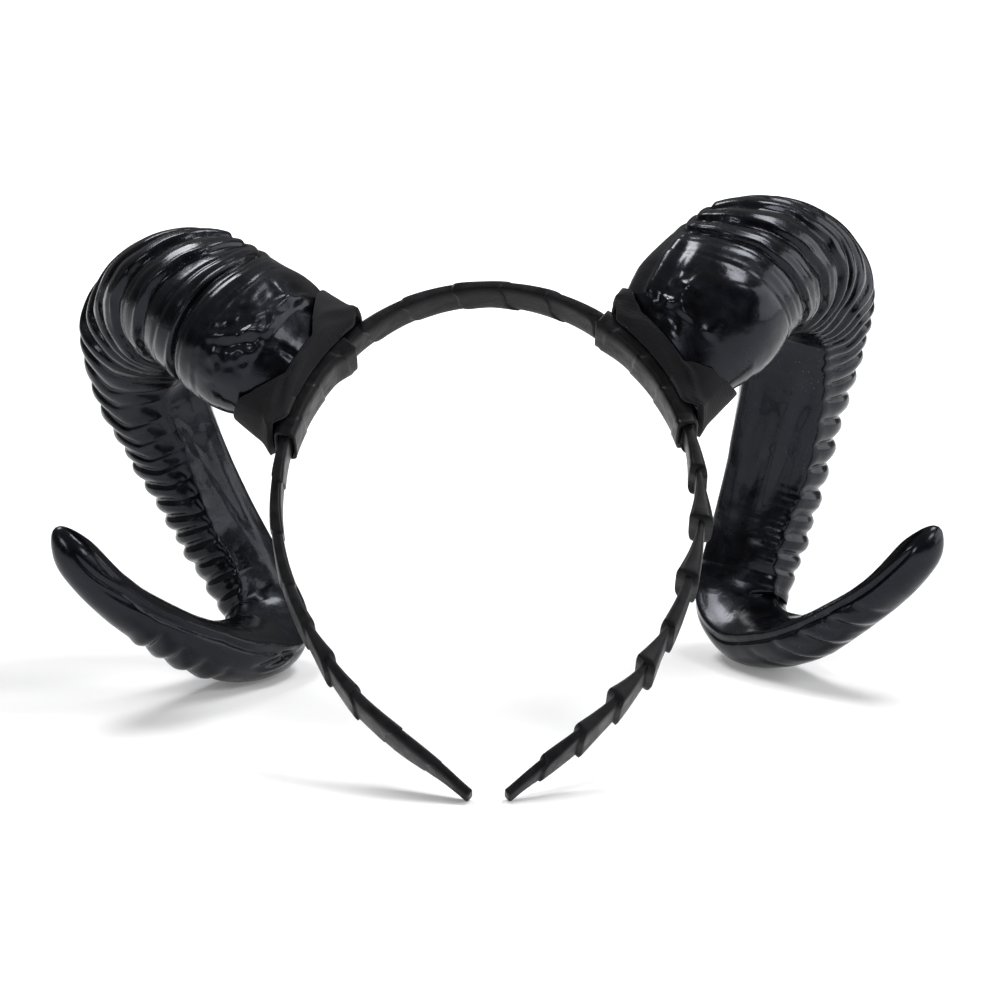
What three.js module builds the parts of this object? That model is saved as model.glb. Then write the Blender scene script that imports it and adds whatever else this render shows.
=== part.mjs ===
// A ribbon-wrapped hoop headband that carries two curled ram horns, each tied on with a cloth cuff.
// Millimetres, +Z up. The group is the headband at rest: it leans back on the bends of its horns,
// with the ends of the hoop on the same surface. Left and right are as seen from the front, from -Y.
import * as THREE from "three";

// Hoop, measured to the middle of the band.
const hoopWidth = 111;
const crownRise = 64.9;
const armDrop = 84.5;
const bandWidth = 9.8;
const bandThickness = 3.2;
const bandTipWidth = 4.6;
const bandTipThickness = 2.2;
const bandTipTaper = 24;

// Ribbon wound round the hoop: each turn ends a little proud of the next one, on a slant.
const ribbonPitch = 13.5;
const ribbonStep = 0.6;
const ribbonSlant = 3;

// Horns: the reach of the middle line from the seat on the hoop, and the section at the root.
const hornSpread = 76;
const hornDepth = 96;
const hornRise = 84;
const hornRootWidth = 41;
const hornRootThickness = 38;
const hornRingCount = 23;
const hornRingRelief = 1.5;
const hornKeelRelief = 1.3;

// Cloth cuffs round the horn roots, and the bindings that tie them on the hoop.
const cuffWall = 1.2;
const cuffReach = 9;
const cuffOverlap = 3.2;
const lipTurn = 0.36;
const bindingWall = 1;
const clearance = 0.3;

// Facets.
const hoopDivisions = 800;
const crownSteps = 14;
const hornSides = 16;
const stepsPerRing = 4;
const cuffSides = 32;
const bindingSteps = 12;
const restRounds = 12;

// One arm of the hoop below its widest level: drop is a share of armDrop, reach of half hoopWidth.
const armRows = [
  { drop: 0, reach: 1 },
  { drop: 0.14, reach: 0.985 },
  { drop: 0.28, reach: 0.94 },
  { drop: 0.42, reach: 0.86 },
  { drop: 0.56, reach: 0.745 },
  { drop: 0.69, reach: 0.605 },
  { drop: 0.82, reach: 0.405 },
  { drop: 0.94, reach: 0.185 },
  { drop: 1, reach: 0.085 },
];

// One turn of ribbon: at is a share of the pitch, and proud a share of ribbonStep.
const turnRows = [
  { at: 0.02, proud: 0 },
  { at: 0.34, proud: 0.35 },
  { at: 0.66, proud: 0.7 },
  { at: 0.97, proud: 1 },
];

// Middle line of each horn from its seat: out, back and up are shares of spread, depth and rise,
// and wide and thick are shares of the section at the root.
const leftRows = [
  { out: 0.215, back: 0.005, up: 0.13, wide: 1.1, thick: 0.98 },
  { out: 0.325, back: 0.025, up: 0.225, wide: 1.08, thick: 1 },
  { out: 0.435, back: 0.055, up: 0.32, wide: 1.05, thick: 1.02 },
  { out: 0.545, back: 0.13, up: 0.405, wide: 1, thick: 0.99 },
  { out: 0.635, back: 0.245, up: 0.43, wide: 0.94, thick: 0.96 },
  { out: 0.685, back: 0.345, up: 0.43, wide: 0.9, thick: 0.9 },
  { out: 0.7, back: 0.445, up: 0.39, wide: 0.83, thick: 0.84 },
  { out: 0.675, back: 0.54, up: 0.315, wide: 0.755, thick: 0.77 },
  { out: 0.61, back: 0.635, up: 0.205, wide: 0.67, thick: 0.69 },
  { out: 0.53, back: 0.725, up: 0.085, wide: 0.6, thick: 0.63 },
  { out: 0.44, back: 0.81, up: -0.04, wide: 0.575, thick: 0.58 },
  { out: 0.345, back: 0.885, up: -0.17, wide: 0.57, thick: 0.54 },
  { out: 0.265, back: 0.92, up: -0.3, wide: 0.57, thick: 0.5 },
  { out: 0.255, back: 0.88, up: -0.425, wide: 0.57, thick: 0.48 },
  { out: 0.345, back: 0.79, up: -0.52, wide: 0.55, thick: 0.475 },
  { out: 0.47, back: 0.68, up: -0.56, wide: 0.51, thick: 0.44 },
  { out: 0.6, back: 0.56, up: -0.555, wide: 0.45, thick: 0.4 },
  { out: 0.735, back: 0.455, up: -0.525, wide: 0.38, thick: 0.37 },
  { out: 0.87, back: 0.35, up: -0.455, wide: 0.31, thick: 0.32 },
  { out: 0.955, back: 0.275, up: -0.375, wide: 0.2, thick: 0.2 },
];
const rightRows = [
  { out: 0.185, back: -0.02, up: 0.18, wide: 1.1, thick: 0.98 },
  { out: 0.275, back: -0.015, up: 0.295, wide: 1.08, thick: 1.02 },
  { out: 0.375, back: 0.015, up: 0.4, wide: 1.04, thick: 1.02 },
  { out: 0.5, back: 0.105, up: 0.48, wide: 0.97, thick: 0.99 },
  { out: 0.59, back: 0.21, up: 0.51, wide: 0.92, thick: 0.96 },
  { out: 0.63, back: 0.325, up: 0.5, wide: 0.88, thick: 0.9 },
  { out: 0.625, back: 0.435, up: 0.445, wide: 0.84, thick: 0.84 },
  { out: 0.605, back: 0.535, up: 0.37, wide: 0.79, thick: 0.77 },
  { out: 0.57, back: 0.635, up: 0.26, wide: 0.735, thick: 0.7 },
  { out: 0.535, back: 0.75, up: 0.135, wide: 0.705, thick: 0.64 },
  { out: 0.49, back: 0.85, up: 0, wide: 0.685, thick: 0.59 },
  { out: 0.435, back: 0.94, up: -0.145, wide: 0.665, thick: 0.55 },
  { out: 0.405, back: 0.975, up: -0.265, wide: 0.65, thick: 0.5 },
  { out: 0.445, back: 0.94, up: -0.39, wide: 0.6, thick: 0.46 },
  { out: 0.525, back: 0.84, up: -0.48, wide: 0.53, thick: 0.41 },
  { out: 0.62, back: 0.73, up: -0.525, wide: 0.48, thick: 0.37 },
  { out: 0.725, back: 0.625, up: -0.525, wide: 0.42, thick: 0.33 },
  { out: 0.86, back: 0.51, up: -0.49, wide: 0.36, thick: 0.29 },
  { out: 0.985, back: 0.39, up: -0.425, wide: 0.3, thick: 0.25 },
  { out: 1.05, back: 0.335, up: -0.36, wide: 0.21, thick: 0.18 },
];

// The part of a horn inside its cuff, next to the hoop: sizes are shares of the section at the root.
const baseRow = { wide: 0.84, thick: 0.55 };

// Where the rings start and end along a horn, the plain sections after them, and the sections
// inside the cuff as shares of its reach.
const ringsFrom = 0.1;
const ringsTo = 0.74;
const tipShares = [0.77, 0.8, 0.83, 0.86, 0.89, 0.92, 0.945, 0.96, 0.975, 0.985, 0.993, 0.998, 1];
const tipRoundFrom = 0.965;
const tipBlunt = 0.25;
const cuffShares = [0, 0.33, 0.66, 1];

// Each horn: the turn of its seat from the crown, the middle of its curl in shares of depth and
// rise, how far its cuff and its binding run along the hoop above and below the root, how far the
// binding's corner juts out, and how far the cuff's mouth reaches up the horn on each side, in
// shares of cuffReach.
const horns = [
  {
    name: "left",
    side: -1,
    seatTurn: 54,
    curlBack: 0.44,
    curlUp: 0.02,
    rows: leftRows,
    cuffAbove: 18.3,
    cuffBelow: 22.5,
    bindingAbove: 10.5,
    bindingBelow: 23.5,
    bindingCorner: 1.5,
    mouth: { front: 0.35, down: 0.95, back: 0.8, up: 1 },
  },
  {
    name: "right",
    side: 1,
    seatTurn: 51.5,
    curlBack: 0.48,
    curlUp: 0.06,
    rows: rightRows,
    cuffAbove: 17.6,
    cuffBelow: 19.5,
    bindingAbove: 18.5,
    bindingBelow: 22.5,
    bindingCorner: 0.4,
    mouth: { front: 0.4, down: 0.85, back: 0.8, up: 0.8 },
  },
];

const backward = new THREE.Vector3(0, 1, 0);
const level = new THREE.Vector3(0, 0, 1);
const radians = THREE.MathUtils.degToRad;
const ease = (from, to, value) => THREE.MathUtils.smoothstep(value, from, to);

// Turns every face round when the skin encloses a negative volume.
function facingOut(points, faces) {
  let volume = 0;
  for (let i = 0; i < faces.length; i += 3) {
    const [a, b, c] = faces.slice(i, i + 3).map((k) => points[k]);
    volume += a.dot(b.clone().cross(c));
  }
  if (volume > 0) {
    return faces;
  }
  const turned = [];
  for (let i = 0; i < faces.length; i += 3) {
    turned.push(faces[i], faces[i + 2], faces[i + 1]);
  }
  return turned;
}

// A closed skin through rings of points: capped at both ends, or joined end to end as a sleeve.
function skin(rings, joined) {
  const sides = rings[0].length;
  const points = rings.flat();
  const faces = [];
  const spans = joined ? rings.length : rings.length - 1;
  for (let i = 0; i < spans; i++) {
    const here = i * sides;
    const there = ((i + 1) % rings.length) * sides;
    for (let j = 0; j < sides; j++) {
      const next = (j + 1) % sides;
      faces.push(here + j, here + next, there + next);
      faces.push(here + j, there + next, there + j);
    }
  }
  if (!joined) {
    capEnd(points, faces, rings[0], 0, true);
    capEnd(points, faces, rings.at(-1), (rings.length - 1) * sides, false);
  }
  const geometry = new THREE.BufferGeometry().setFromPoints(points);
  geometry.setIndex(facingOut(points, faces));
  geometry.computeVertexNormals();
  return geometry;
}

// A fan of faces over an end ring, from a point in its middle.
function capEnd(points, faces, ring, first, flip) {
  const middle = new THREE.Vector3();
  for (const point of ring) {
    middle.addScaledVector(point, 1 / ring.length);
  }
  const tip = points.push(middle) - 1;
  for (let j = 0; j < ring.length; j++) {
    const a = first + j;
    const b = first + ((j + 1) % ring.length);
    faces.push(tip, flip ? b : a, flip ? a : b);
  }
}

// The hoop's middle line in its own plane, from one end over the crown to the other.
function hoopCurve() {
  const half = hoopWidth / 2;
  const arm = (side) =>
    armRows.map((row) => new THREE.Vector3(side * half * row.reach, 0, -armDrop * row.drop));
  const points = arm(-1).reverse();
  for (let i = 1; i < crownSteps; i++) {
    const turn = Math.PI * (i / crownSteps - 0.5);
    points.push(new THREE.Vector3(half * Math.sin(turn), 0, crownRise * Math.cos(turn)));
  }
  points.push(...arm(1));
  const curve = new THREE.CatmullRomCurve3(points);
  curve.arcLengthDivisions = hoopDivisions;
  return curve;
}

const hoop = hoopCurve();
const hoopLength = hoop.getLength();

// Point, direction along the hoop and direction away from the head, at a length along the hoop.
function hoopFrame(length) {
  const share = THREE.MathUtils.clamp(length / hoopLength, 0, 1);
  const along = hoop.getTangentAt(share);
  const out = new THREE.Vector3().crossVectors(along, backward);
  return { point: hoop.getPointAt(share), along, out };
}

// A flat strip's section with cut corners, as offsets across the hoop and away from the head.
function stripSection(width, thickness, cut) {
  const w = width / 2;
  const t = thickness / 2;
  return [
    [w, t - cut],
    [w - cut, t],
    [cut - w, t],
    [-w, t - cut],
    [-w, cut - t],
    [cut - w, -t],
    [w - cut, -t],
    [w, cut - t],
  ];
}

// A ring of a strip laid round the hoop at a length along it.
function stripRing(length, section, slant) {
  return section.map(([across, away]) => {
    const lean = (slant * across) / bandWidth;
    const { point, out } = hoopFrame(length + lean);
    return point.addScaledVector(backward, across).addScaledVector(out, away);
  });
}

// Width and thickness of the wound band at a length along the hoop, narrower towards its ends.
function bandSize(length) {
  const toEnd = Math.min(length, hoopLength - length);
  const full = ease(0, bandTipTaper, toEnd);
  return {
    width: THREE.MathUtils.lerp(bandTipWidth, bandWidth, full),
    thickness: THREE.MathUtils.lerp(bandTipThickness, bandThickness, full),
    full,
  };
}

function bandGeometry() {
  const turns = Math.round(hoopLength / ribbonPitch);
  const rings = [];
  for (let i = 0; i < turns; i++) {
    for (const row of turnRows) {
      const length = (hoopLength * (i + row.at)) / turns;
      const size = bandSize(length);
      const grow = ribbonStep * (row.proud - 0.5) * size.full;
      const section = stripSection(size.width + grow, size.thickness + grow, size.thickness / 4);
      rings.push(stripRing(length, section, ribbonSlant * size.full));
    }
  }
  return skin(rings, false);
}

// The frame of a horn's seat on the hoop, with the length along the hoop where it lies.
function seatOf(horn) {
  const turn = radians(horn.seatTurn);
  const across = (horn.side * hoopWidth * Math.sin(turn)) / 2;
  const wanted = new THREE.Vector3(across, 0, crownRise * Math.cos(turn));
  const lengths = Array.from({ length: hoopDivisions + 1 }, (_, i) => (hoopLength * i) / hoopDivisions);
  const away = (length) => hoopFrame(length).point.distanceTo(wanted);
  const length = lengths.reduce((best, next) => (away(next) < away(best) ? next : best));
  return { length, ...hoopFrame(length) };
}

// What lies on the hoop under a horn: the binding, with a clearance on each side.
const bandReach = (bandThickness + ribbonStep / 2) / 2;
const bindingInner = bandReach + clearance;
const bindingOuter = bindingInner + bindingWall;
const hornBaseLevel = bindingOuter + clearance;

// The middle line of a horn with its section sizes, from the seat outwards.
function hornLine(horn) {
  const seat = seatOf(horn);
  const base = seat.point.clone().addScaledVector(seat.out, hornBaseLevel);
  const points = [base];
  const sizes = [new THREE.Vector3(baseRow.wide, baseRow.thick, 0)];
  for (const row of horn.rows) {
    const reach = new THREE.Vector3(horn.side * row.out * hornSpread, row.back * hornDepth, row.up * hornRise);
    points.push(reach.add(seat.point));
    sizes.push(new THREE.Vector3(row.wide, row.thick, 0));
  }
  const curve = new THREE.CatmullRomCurve3(points, false, "centripetal");
  return {
    curve,
    sizes: new THREE.CatmullRomCurve3(sizes, false, "catmullrom"),
    curl: new THREE.Vector3(0, horn.curlBack * hornDepth, horn.curlUp * hornRise).add(seat.point),
    mouth: cuffReach / curve.getLength(),
    seat,
    side: horn.side,
  };
}

// A section's frame: outer points away from the middle of the curl, and flank away from the head.
// Inside the cuff the sections turn until the first one lies flat on the binding.
function hornFrame(line, share) {
  const place = line.curve.getUtoTmapping(share);
  const point = line.curve.getPoint(place);
  const squared = 1 - ease(0, line.mouth, share);
  const along = line.curve.getTangent(place).lerp(line.seat.out, squared).normalize();
  const outer = point.clone().sub(line.curl).setX(0);
  outer.addScaledVector(along, -outer.dot(along)).normalize();
  const flank = new THREE.Vector3().crossVectors(along, outer).multiplyScalar(line.side);
  const size = line.sizes.getPoint(place);
  const over = Math.max(0, share - tipRoundFrom) / (1 - tipRoundFrom);
  const round = THREE.MathUtils.lerp(Math.sqrt(Math.max(0, 1 - over * over)), 1, over * tipBlunt);
  return {
    point,
    outer,
    flank,
    wide: size.x * hornRootWidth * round,
    thick: size.y * hornRootThickness * round,
  };
}

// How far the skin stands out at a share of the horn and a turn round its section: rings on the
// outer side and the flank, and a low keel where the ringed flank meets the smooth inner face.
function relief(share, turn, slim) {
  const keelTurn = radians(128);
  const keel = hornKeelRelief * slim * Math.max(0, Math.cos(turn - keelTurn)) ** 6 * ease(0.25, 0.5, share);
  const place = ((share - ringsFrom) / (ringsTo - ringsFrom)) * hornRingCount;
  if (place <= 0 || place >= hornRingCount) {
    return keel;
  }
  const bump = Math.abs(Math.sin(Math.PI * place)) - 0.5;
  const cover = ease(-0.45, 0.25, Math.cos(turn - radians(50)));
  const fade = ease(0, 1, place) * (1 - ease(0.8, 1, place / hornRingCount));
  return keel + hornRingRelief * (0.45 + 0.55 * slim) * bump * cover * fade;
}

// A point of the horn's oval section, grown by an allowance for what is wrapped round it.
function hornPoint(line, share, turn, grow) {
  const frame = hornFrame(line, share);
  const more = relief(share, turn, frame.thick / hornRootThickness) + grow;
  const outer = Math.cos(turn) * (frame.thick / 2 + more);
  const flank = Math.sin(turn) * (frame.wide / 2 + more);
  return frame.point.addScaledVector(frame.outer, outer).addScaledVector(frame.flank, flank);
}

// Turns evenly spaced round a section.
function turnsRound(sides) {
  return Array.from({ length: sides }, (_, j) => (2 * Math.PI * j) / sides);
}

function hornGeometry(line) {
  const steps = hornRingCount * stepsPerRing;
  const ringed = Array.from({ length: steps + 1 }, (_, i) => ringsFrom + ((ringsTo - ringsFrom) * i) / steps);
  const inCuff = cuffShares.map((share) => share * line.mouth);
  const shares = [...inCuff, (line.mouth + ringsFrom) / 2, ...ringed, ...tipShares];
  const turns = turnsRound(hornSides);
  return skin(shares.map((share) => turns.map((turn) => hornPoint(line, share, turn, 0))), false);
}

// The lip of a cuff: a loop that straddles the band and its binding, high over the band at its two
// ends and down beside the band between them.
function cuffLip(line, horn, grow) {
  const ring = [];
  const half = (bandWidth + ribbonStep / 2) / 2 + 2 * clearance + bindingWall + grow;
  for (const turn of turnsRound(cuffSides)) {
    const down = Math.sin(turn);
    const front = Math.cos(turn);
    const run = (down > 0 ? horn.cuffBelow : horn.cuffAbove) + grow;
    const away = Math.sign(down) * Math.abs(down) ** 0.75 * run;
    const across = -Math.sign(front) * Math.min(1, Math.abs(front) / lipTurn) * half;
    const lift = hornBaseLevel + grow - cuffOverlap * ease(lipTurn, 2 * lipTurn, Math.abs(front));
    const { point, out } = hoopFrame(line.seat.length + line.side * away);
    ring.push(point.addScaledVector(backward, across).addScaledVector(out, lift));
  }
  return ring;
}

// How far the mouth of a cuff reaches at a turn round the horn, as a share of cuffReach.
function mouthReach(mouth, turn) {
  const front = Math.cos(turn);
  const down = Math.sin(turn);
  return (front > 0 ? mouth.front : mouth.back) * front ** 2 + (down > 0 ? mouth.down : mouth.up) * down ** 2;
}

// A cloth cuff: a skirt from the horn's root to the hoop, open where the horn leaves it.
function cuffGeometry(line, horn) {
  const ring = (share, grow) =>
    turnsRound(cuffSides).map((turn) =>
      hornPoint(line, share * line.mouth * mouthReach(horn.mouth, turn), turn, grow + clearance),
    );
  const wall = (grow) => [cuffLip(line, horn, grow), ...cuffShares.map((share) => ring(share, grow))];
  return skin([...wall(clearance + cuffWall), ...wall(clearance).reverse()], true);
}

// A binding: a sleeve wound round the band under the cuff, with a corner that juts out at its top.
function bindingGeometry(line, horn) {
  const rings = [];
  const span = horn.bindingAbove + horn.bindingBelow;
  for (const outside of [true, false]) {
    for (let i = 0; i <= bindingSteps; i++) {
      const part = outside ? i / bindingSteps : 1 - i / bindingSteps;
      const length = line.seat.length + line.side * (span * part - horn.bindingAbove);
      const grow = 2 * (clearance + (outside ? bindingWall : 0)) + ribbonStep / 2;
      const section = stripSection(bandWidth + grow, bandThickness + grow, bandThickness / 4);
      const jut = outside ? horn.bindingCorner * (1 - ease(0, 0.25, part)) : 0;
      rings.push(stripRing(length, section.map(([across, away]) => [across, away < 0 ? away - jut : away]), 0));
    }
  }
  return skin(rings, true);
}

function part(name, geometry, color, roughness) {
  const mesh = new THREE.Mesh(geometry, new THREE.MeshStandardMaterial({ color, roughness, metalness: 0 }));
  mesh.name = name;
  return mesh;
}

// The vertex of some parts that lies lowest in a pose.
function lowest(parts, pose) {
  let low = new THREE.Vector3(0, 0, Infinity);
  for (const { geometry } of parts) {
    const place = geometry.getAttribute("position");
    for (let i = 0; i < place.count; i++) {
      const point = new THREE.Vector3().fromBufferAttribute(place, i).applyQuaternion(pose);
      low = point.z < low.z ? point : low;
    }
  }
  return low;
}

// Leans the headband back until its hoop and both of its horns rest on one level surface.
function layDown(body, supports) {
  for (let i = 0; i < restRounds; i++) {
    const [a, b, c] = supports.map((parts) => lowest(parts, body.quaternion));
    const up = b.sub(a).cross(c.sub(a)).normalize();
    up.multiplyScalar(Math.sign(up.z));
    body.quaternion.premultiply(new THREE.Quaternion().setFromUnitVectors(up, level));
  }
  const box = new THREE.Box3().setFromObject(body, true);
  const middle = box.getCenter(new THREE.Vector3());
  body.position.set(-middle.x, -middle.y, -box.min.z);
}

const ribbonBlack = 0x101014;
const hornBlack = 0x0b0b10;
const clothBlack = 0x17171b;
const firstLean = radians(-40);

const band = part("band", bandGeometry(), ribbonBlack, 0.45);
const body = new THREE.Group();
body.add(band);
const supports = [[band]];
for (const horn of horns) {
  const line = hornLine(horn);
  const skinPart = part("horn_" + horn.name, hornGeometry(line), hornBlack, 0.25);
  body.add(skinPart);
  body.add(part("cuff_" + horn.name, cuffGeometry(line, horn), clothBlack, 0.9));
  body.add(part("binding_" + horn.name, bindingGeometry(line, horn), ribbonBlack, 0.6));
  supports.push([skinPart]);
}
body.rotation.x = firstLean;
layDown(body, supports);

const headband = new THREE.Group();
headband.add(body);

export default headband;
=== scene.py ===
import itertools
import math
import bmesh
import bpy
import numpy as np
from mathutils import Euler, Matrix, Vector


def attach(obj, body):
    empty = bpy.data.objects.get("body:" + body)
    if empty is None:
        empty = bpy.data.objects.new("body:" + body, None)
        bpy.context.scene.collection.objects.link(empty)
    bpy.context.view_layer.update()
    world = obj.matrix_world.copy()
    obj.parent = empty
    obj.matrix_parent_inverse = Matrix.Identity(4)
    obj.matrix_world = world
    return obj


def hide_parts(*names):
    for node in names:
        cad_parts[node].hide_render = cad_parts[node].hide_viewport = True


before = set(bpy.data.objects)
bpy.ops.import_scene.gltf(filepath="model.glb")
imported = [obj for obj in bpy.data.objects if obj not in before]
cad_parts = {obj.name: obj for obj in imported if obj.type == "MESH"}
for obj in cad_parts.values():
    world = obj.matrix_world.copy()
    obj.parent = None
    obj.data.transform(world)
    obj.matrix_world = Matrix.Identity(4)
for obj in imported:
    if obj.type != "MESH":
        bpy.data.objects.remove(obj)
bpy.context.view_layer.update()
print("frame loaded")

mm = 0.001
wavesPerUnit = 3.2  # about how often a wave texture of scale 1 repeats in one unit

# The headband leans back on the bends of its horns. Everything is worked out upright, in mm, in the
# hoop's own frame, and turned and moved into place at the end.
rest = {"lean": -42.150855, "sway": 0.456747, "twist": -0.008016, "place": (-2.714723, -21.327942, 64.328815)}
restTurn = np.array(Euler([math.radians(rest[name]) for name in ("lean", "sway", "twist")]).to_matrix())


def laidDown(points):
    return (points @ restTurn.T + np.array(rest["place"])) * mm


def ease(start, end, value):
    share = np.clip((value - start) / (end - start), 0, 1)
    return share * share * (3 - 2 * share)


def mix(first, second, share):
    return first + (second - first) * share


def spline(points, places, centripetal=True):
    # a curve through the points, read at places from 0 to 1
    points = np.asarray(points, float)
    last = len(points) - 1
    spot = np.clip(np.asarray(places, float), 0, 1) * last
    first = np.minimum(spot.astype(int), last - 1)
    part = (spot - first)[:, None]
    longer = np.vstack([2 * points[0] - points[1], points, 2 * points[-1] - points[-2]])
    a, b, c, d = (longer[first + k] for k in range(4))
    if centripetal:
        gap = [np.maximum(np.sum((q - p) ** 2, axis=1) ** 0.25, 1e-9)[:, None] for p, q in ((a, b), (b, c), (c, d))]
        leave = ((b - a) / gap[0] - (c - a) / (gap[0] + gap[1]) + (c - b) / gap[1]) * gap[1]
        reach = ((c - b) / gap[1] - (d - b) / (gap[1] + gap[2]) + (d - c) / gap[2]) * gap[1]
    else:
        leave, reach = (c - a) / 2, (d - b) / 2
    return b + leave * part + (3 * (c - b) - 2 * leave - reach) * part ** 2 + (2 * (b - c) + leave + reach) * part ** 3


def lengthsAlong(line):
    return np.r_[0, np.cumsum(np.linalg.norm(np.diff(line, axis=0), axis=1))]


def grain(points, cell, seed):
    # soft random values from 0 to 1, in cells of a size in mm
    spot = points / cell
    corner = np.floor(spot).astype(np.int64)
    part = ease(0, 1, spot - corner)
    total = 0
    for step in itertools.product((0, 1), repeat=3):
        key = corner + np.array(step)
        value = (key[..., 0] * 73856093) ^ (key[..., 1] * 19349663) ^ (key[..., 2] * 83492791) ^ (seed * 2654435761)
        value = ((value ^ (value >> 13)) * 1274126177) & 0xFFFFFFFF
        value = ((value ^ (value >> 16)) & 0xFFFF) / 65535
        weight = 1
        for axis in range(3):
            weight = weight * (part[..., axis] if step[axis] else 1 - part[..., axis])
        total = total + value * weight
    return total


def crinkle(points, cell, seed):
    # sharp little ridges, as in a skin that was pushed together
    bent = points + 0.9 * cell * np.stack([grain(points, cell * 1.3, seed + k) - 0.5 for k in (1, 2, 3)], -1)
    total = 0
    for size, share in ((1, 0.42), (0.5, 0.33), (0.3, 0.25)):
        total = total + share * (1 - np.abs(2 * grain(bent, cell * size, seed + 7) - 1)) ** 2.2
    return total


def crowd(count, places, density):
    # values from 0 to 1 that lie closer together where the density is higher
    line = np.linspace(0, 1, 2000)
    amount = lengthsAlong(np.cumsum(np.interp(line, places, density))[:, None])
    return np.interp(np.linspace(0, 1, count), amount / amount[-1], line)


def makePiece(name, points, faces, material, stretch=None):
    # a closed skin whose faces look out, with the size of its cloth as a second set of coordinates
    mesh = bpy.data.meshes.new(name)
    mesh.from_pydata(laidDown(points).tolist(), [], faces)
    if stretch is not None:
        layer = mesh.uv_layers.new(name="cloth")
        corners = np.empty(len(mesh.loops), int)
        mesh.loops.foreach_get("vertex_index", corners)
        layer.data.foreach_set("uv", stretch[corners].ravel())
    shape = bmesh.new()
    shape.from_mesh(mesh)
    bmesh.ops.remove_doubles(shape, verts=shape.verts, dist=0.000002)
    bmesh.ops.dissolve_degenerate(shape, edges=shape.edges, dist=0.000002)
    loose = [vert for vert in shape.verts if not vert.link_faces]
    bmesh.ops.delete(shape, geom=loose, context="VERTS")
    if shape.calc_volume(signed=True) < 0:
        bmesh.ops.reverse_faces(shape, faces=shape.faces)
    for face in shape.faces:
        face.smooth = True
    shape.to_mesh(mesh)
    shape.free()
    mesh.materials.append(material)
    piece = bpy.data.objects.new(name, mesh)
    bpy.context.scene.collection.objects.link(piece)
    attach(piece, "root")
    return piece


def gridFaces(rows, cols, joined=False):
    faces = []
    for i in range(rows if joined else rows - 1):
        here, there = i * cols, ((i + 1) % rows) * cols
        for j in range(cols):
            k = (j + 1) % cols
            faces.append((here + j, here + k, there + k, there + j))
    return faces


def addNode(tree, kind, sockets=None, **settings):
    # one shader node, with a number, a colour or another node's output for each socket
    node = tree.nodes.new("ShaderNode" + kind)
    for name, value in settings.items():
        setattr(node, name, value)
    for socket, value in (sockets or {}).items():
        if isinstance(value, bpy.types.NodeSocket):
            tree.links.new(value, node.inputs[socket])
        else:
            node.inputs[socket].default_value = value
    return node


def toLinear(hexColour):
    parts = [int(hexColour[i:i + 2], 16) / 255 for i in (1, 3, 5)]
    return [p / 12.92 if p <= 0.04045 else ((p + 0.055) / 1.055) ** 2.4 for p in parts] + [1]


def setRamp(ramp, stops):
    # stops are pairs of place and colour
    while len(ramp.color_ramp.elements) < len(stops):
        ramp.color_ramp.elements.new(0.5)
    for element, (place, colour) in zip(ramp.color_ramp.elements, stops):
        element.position = place
        element.color = colour


def newMaterial(name):
    material = bpy.data.materials.new(name)
    material.use_nodes = True
    tree = material.node_tree
    tree.nodes.clear()
    return material, tree


# Natural rubber latex, brushed over foam and varnished: near black, glossy, with a thin clear coat that
# breaks up where the skin is pulled, a faint blue haze on the smooth faces, and light specks in patches: a painted
# sheen.
latex = {"skin": "#050506", "haze": "#0c0d13", "paintedSheen": "#5b5f6c", "ior": 1.52, "roughness": 0.2, "specular": 0.22,
         "tint": "#e6ebff", "coat": 0.12, "coatRoughness": 0.04, "coatIor": 1.5, "peel": 1.6, "pull": 7, "speck": 1.1,
         "patch": 26}


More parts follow.
